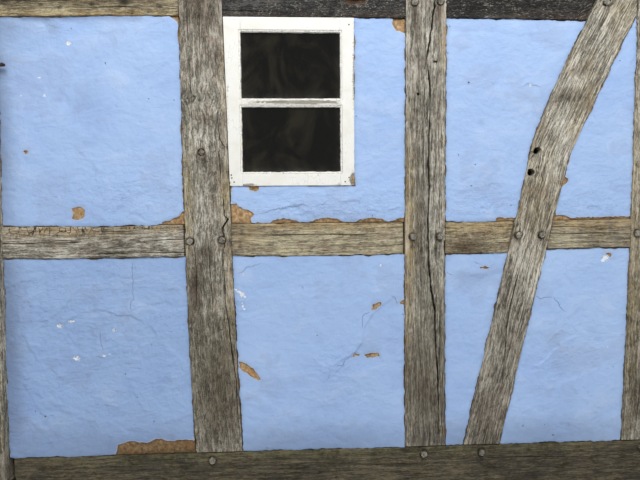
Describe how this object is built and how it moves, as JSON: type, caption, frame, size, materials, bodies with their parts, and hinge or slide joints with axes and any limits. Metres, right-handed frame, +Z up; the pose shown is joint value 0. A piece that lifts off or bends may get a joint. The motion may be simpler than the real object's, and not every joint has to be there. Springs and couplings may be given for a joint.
{
  "type": "half-timbered house wall",
  "caption": "Half-timbered house wall: pegged oak posts, rails and a curved brace, blue limewashed plaster on daub between them, and a small fixed white window.",
  "frame": {"origin": "underside of the sill, at the middle of the wall's length and depth", "axes": "+X along the wall, to the right seen from outside; +Z up; the outer face looks to -Y"},
  "size_m": [3, 0.231, 2.6],
  "materials": {
    "oak_grey": "matte",
    "oak_brown": "matte",
    "oak_dark": "matte",
    "oak_inside": "matte",
    "oak_peg": "matte",
    "lime_blue": "matte",
    "lime_white": "matte",
    "daub": "matte",
    "white_paint": "satin",
    "putty": "matte",
    "glass": "gloss",
    "iron": "matte"
  },
  "bodies": {
    "root": {"sill_beam": "oak_brown", "wall_plate": "oak_grey", "post_left": "oak_grey", "post_window": "oak_grey", "post_middle": "oak_grey", "post_right": "oak_grey", "curved_brace": "oak_grey", "mid_rail_left": "oak_grey", "mid_rail_window": "oak_brown", "mid_rail_brace": "oak_brown", "mid_rail_end": "oak_grey", "upper_rail_left": "oak_brown", "upper_rail_window": "oak_dark", "upper_rail_brace": "oak_dark", "daub_left_bay": "daub", "daub_window_bay": "daub", "daub_beside_window": "daub", "daub_brace_bay": "daub", "plaster_lower_left": "lime_blue", "plaster_upper_left": "lime_blue", "plaster_top_left": "lime_blue", "plaster_lower_window": "lime_blue", "plaster_round_window": "lime_blue", "plaster_top_window": "lime_blue", "plaster_lower_brace_left": "lime_blue", "plaster_lower_brace_right": "lime_blue", "plaster_upper_brace_left": "lime_blue", "plaster_upper_brace_right": "lime_blue", "plaster_top_brace": "lime_blue", "inner_plaster_left": "lime_white", "inner_plaster_window": "lime_white", "inner_plaster_brace": "lime_white", "window_stile_left": "white_paint", "window_stile_right": "white_paint", "window_head": "white_paint", "window_foot": "white_paint", "glazing_bar": "white_paint", "window_glass": "glass", "window_putty": "putty", "window_board": "oak_inside", "pegs_mid_rail": "oak_peg", "pegs_upper_rail": "oak_peg", "pegs_sill": "oak_peg", "pegs_plate": "oak_peg", "iron_hook": "iron"}
  },
  "joints": []
}
